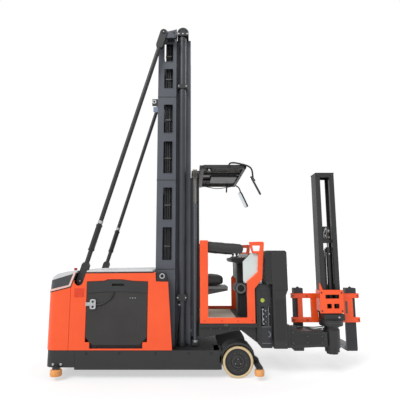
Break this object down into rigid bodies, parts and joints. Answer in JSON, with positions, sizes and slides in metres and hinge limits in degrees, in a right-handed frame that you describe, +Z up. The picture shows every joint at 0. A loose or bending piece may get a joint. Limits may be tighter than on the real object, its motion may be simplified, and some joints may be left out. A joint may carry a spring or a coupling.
{
  "type": "very narrow aisle forklift",
  "caption": "Battery forklift for very narrow aisles with a braced mast, rising operator cab, cross beam, and a swivelling side-shifting fork head.",
  "frame": {"origin": "middle of the footprint, on the floor", "axes": "+X to the front where the forks are, +Y to the left side, +Z up"},
  "size_m": [4.016, 1.6, 4.73],
  "materials": {
    "base_frame": "satin black paint",
    "side_panel_right": "orange paint",
    "side_panel_left": "orange paint",
    "tail_cover": "orange paint",
    "rear_window": "dark smoked panel",
    "hood": "light grey moulding",
    "battery": "dark battery case",
    "battery_door_right": "black moulding",
    "battery_door_left": "black moulding",
    "strut_right": "satin black paint",
    "strut_left": "satin black paint",
    "outer_mast": "blue grey paint",
    "inner_mast": "blue grey paint",
    "lift_cylinder_right": "satin black paint",
    "lift_cylinder_left": "satin black paint",
    "free_lift_cylinders": "bright steel",
    "free_lift_rod_right": "bright steel",
    "free_lift_rod_left": "bright steel",
    "lift_chain_right": "oiled chain steel",
    "lift_chain_left": "oiled chain steel",
    "cab_frame": "satin black paint",
    "cab_side_right": "orange paint",
    "cab_side_left": "orange paint",
    "side_pane_right": "pale translucent panel",
    "side_pane_left": "pale translucent panel",
    "floor_mat": "cream ribbed mat",
    "seat_bracket": "grey paint",
    "seat": "black vinyl",
    "console": "black moulding",
    "guard_frame": "satin black paint",
    "guard_sheet": "olive grey sheet",
    "mirror_right": "black housing",
    "mirror_left": "black housing",
    "traverse_beam": "satin black paint",
    "barrier_right": "padded black bar",
    "barrier_left": "padded black bar",
    "head_tower": "satin black paint",
    "head_arm": "satin black paint",
    "pivot_housing": "satin black paint",
    "turntable": "satin black paint",
    "aux_mast": "satin black paint",
    "mast_bracket": "orange paint",
    "aux_cylinder": "grey paint",
    "aux_rod": "bright steel",
    "fork_carriage": "orange paint",
    "fork_right": "black forged steel",
    "fork_left": "black forged steel",
    "load_tyre_right": "cream polyurethane",
    "load_tyre_left": "cream polyurethane",
    "load_hub_right": "satin black paint",
    "load_hub_left": "satin black paint",
    "guide_roller_rear_right": "orange polyurethane",
    "guide_roller_rear_left": "orange polyurethane",
    "guide_roller_front_right": "orange polyurethane",
    "guide_roller_front_left": "orange polyurethane",
    "drive_wheel": "black tread",
    "drive_fork": "grey paint"
  },
  "bodies": {
    "chassis": {"base_frame": "base_frame", "side_panel_right": "side_panel_right", "side_panel_left": "side_panel_left", "tail_cover": "tail_cover", "rear_window": "rear_window", "hood": "hood", "battery": "battery", "battery_door_right": "battery_door_right", "battery_door_left": "battery_door_left", "strut_right": "strut_right", "strut_left": "strut_left", "outer_mast": "outer_mast", "lift_cylinder_right": "lift_cylinder_right", "lift_cylinder_left": "lift_cylinder_left"},
    "inner_mast": {"inner_mast": "inner_mast", "free_lift_cylinders": "free_lift_cylinders"},
    "free_lift": {"free_lift_rod_right": "free_lift_rod_right", "free_lift_rod_left": "free_lift_rod_left", "lift_chain_right": "lift_chain_right", "lift_chain_left": "lift_chain_left"},
    "cab": {"cab_frame": "cab_frame", "cab_side_right": "cab_side_right", "cab_side_left": "cab_side_left", "side_pane_right": "side_pane_right", "side_pane_left": "side_pane_left", "floor_mat": "floor_mat", "seat_bracket": "seat_bracket", "seat": "seat", "console": "console", "guard_frame": "guard_frame", "guard_sheet": "guard_sheet", "mirror_right": "mirror_right", "mirror_left": "mirror_left", "traverse_beam": "traverse_beam"},
    "barrier_right": {"barrier_right": "barrier_right"},
    "barrier_left": {"barrier_left": "barrier_left"},
    "head": {"head_tower": "head_tower", "head_arm": "head_arm", "pivot_housing": "pivot_housing"},
    "turret": {"turntable": "turntable", "aux_mast": "aux_mast", "mast_bracket": "mast_bracket", "aux_cylinder": "aux_cylinder"},
    "aux_lift": {"aux_rod": "aux_rod"},
    "carriage": {"fork_carriage": "fork_carriage", "fork_right": "fork_right", "fork_left": "fork_left"},
    "load_wheel_right": {"load_tyre_right": "load_tyre_right", "load_hub_right": "load_hub_right"},
    "load_wheel_left": {"load_tyre_left": "load_tyre_left", "load_hub_left": "load_hub_left"},
    "drive_steer": {"drive_fork": "drive_fork"},
    "drive_wheel": {"drive_wheel": "drive_wheel"},
    "guide_rear_right": {"guide_roller_rear_right": "guide_roller_rear_right"},
    "guide_rear_left": {"guide_roller_rear_left": "guide_roller_rear_left"},
    "guide_front_right": {"guide_roller_front_right": "guide_roller_front_right"},
    "guide_front_left": {"guide_roller_front_left": "guide_roller_front_left"}
  },
  "joints": [
    {"name": "mast_lift", "type": "slide", "parent": "chassis", "child": "inner_mast", "axis": [0, 0, 1], "range_m": [0, 3.2]},
    {"name": "cab_lift", "type": "slide", "parent": "inner_mast", "child": "cab", "axis": [0, 0, 1], "range_m": [0, 3.2]},
    {"name": "free_lift_slide", "type": "slide", "parent": "inner_mast", "child": "free_lift", "axis": [0, 0, 1], "range_m": [0, 1.6]},
    {"name": "barrier_right_hinge", "type": "hinge", "parent": "cab", "child": "barrier_right", "pos_m": [-0.03, -0.555, 1.625], "axis": [0, -1, 0], "range_deg": [0, 75]},
    {"name": "barrier_left_hinge", "type": "hinge", "parent": "cab", "child": "barrier_left", "pos_m": [-0.03, 0.555, 1.625], "axis": [0, -1, 0], "range_deg": [0, 75]},
    {"name": "head_traverse", "type": "slide", "parent": "cab", "child": "head", "axis": [0, 1, 0], "range_m": [0, 1]},
    {"name": "turret_swivel", "type": "hinge", "parent": "head", "child": "turret", "pos_m": [1.56, -0.5, 0.45], "axis": [0, 0, 1], "range_deg": [-180, 0]},
    {"name": "aux_lift_slide", "type": "slide", "parent": "turret", "child": "aux_lift", "axis": [0, 0, 1], "range_m": [0, 0.6]},
    {"name": "carriage_lift", "type": "slide", "parent": "turret", "child": "carriage", "axis": [0, 0, 1], "range_m": [0, 1.2]},
    {"name": "load_wheel_right_spin", "type": "hinge", "parent": "chassis", "child": "load_wheel_right", "pos_m": [0.346, -0.585, 0.19], "axis": [0, 1, 0], "continuous": true},
    {"name": "load_wheel_left_spin", "type": "hinge", "parent": "chassis", "child": "load_wheel_left", "pos_m": [0.346, 0.585, 0.19], "axis": [0, 1, 0], "continuous": true},
    {"name": "drive_steering", "type": "hinge", "parent": "chassis", "child": "drive_steer", "pos_m": [-1.77, 0, 0.45], "axis": [0, 0, 1], "range_deg": [-90, 90]},
    {"name": "drive_spin", "type": "hinge", "parent": "drive_steer", "child": "drive_wheel", "pos_m": [-1.77, 0, 0.16], "axis": [0, 1, 0], "continuous": true},
    {"name": "guide_rear_right_spin", "type": "hinge", "parent": "chassis", "child": "guide_rear_right", "pos_m": [-1.845, -0.725, 0.09], "axis": [0, 0, 1], "continuous": true},
    {"name": "guide_rear_left_spin", "type": "hinge", "parent": "chassis", "child": "guide_rear_left", "pos_m": [-1.845, 0.725, 0.09], "axis": [0, 0, 1], "continuous": true},
    {"name": "guide_front_right_spin", "type": "hinge", "parent": "chassis", "child": "guide_front_right", "pos_m": [0.591, -0.742, 0.09], "axis": [0, 0, 1], "continuous": true},
    {"name": "guide_front_left_spin", "type": "hinge", "parent": "chassis", "child": "guide_front_left", "pos_m": [0.591, 0.742, 0.09], "axis": [0, 0, 1], "continuous": true}
  ],
  "couplings": [
    {"joint": "free_lift_slide", "follows": "cab_lift", "ratio": 0.5},
    {"joint": "aux_lift_slide", "follows": "carriage_lift", "ratio": 0.5}
  ]
}
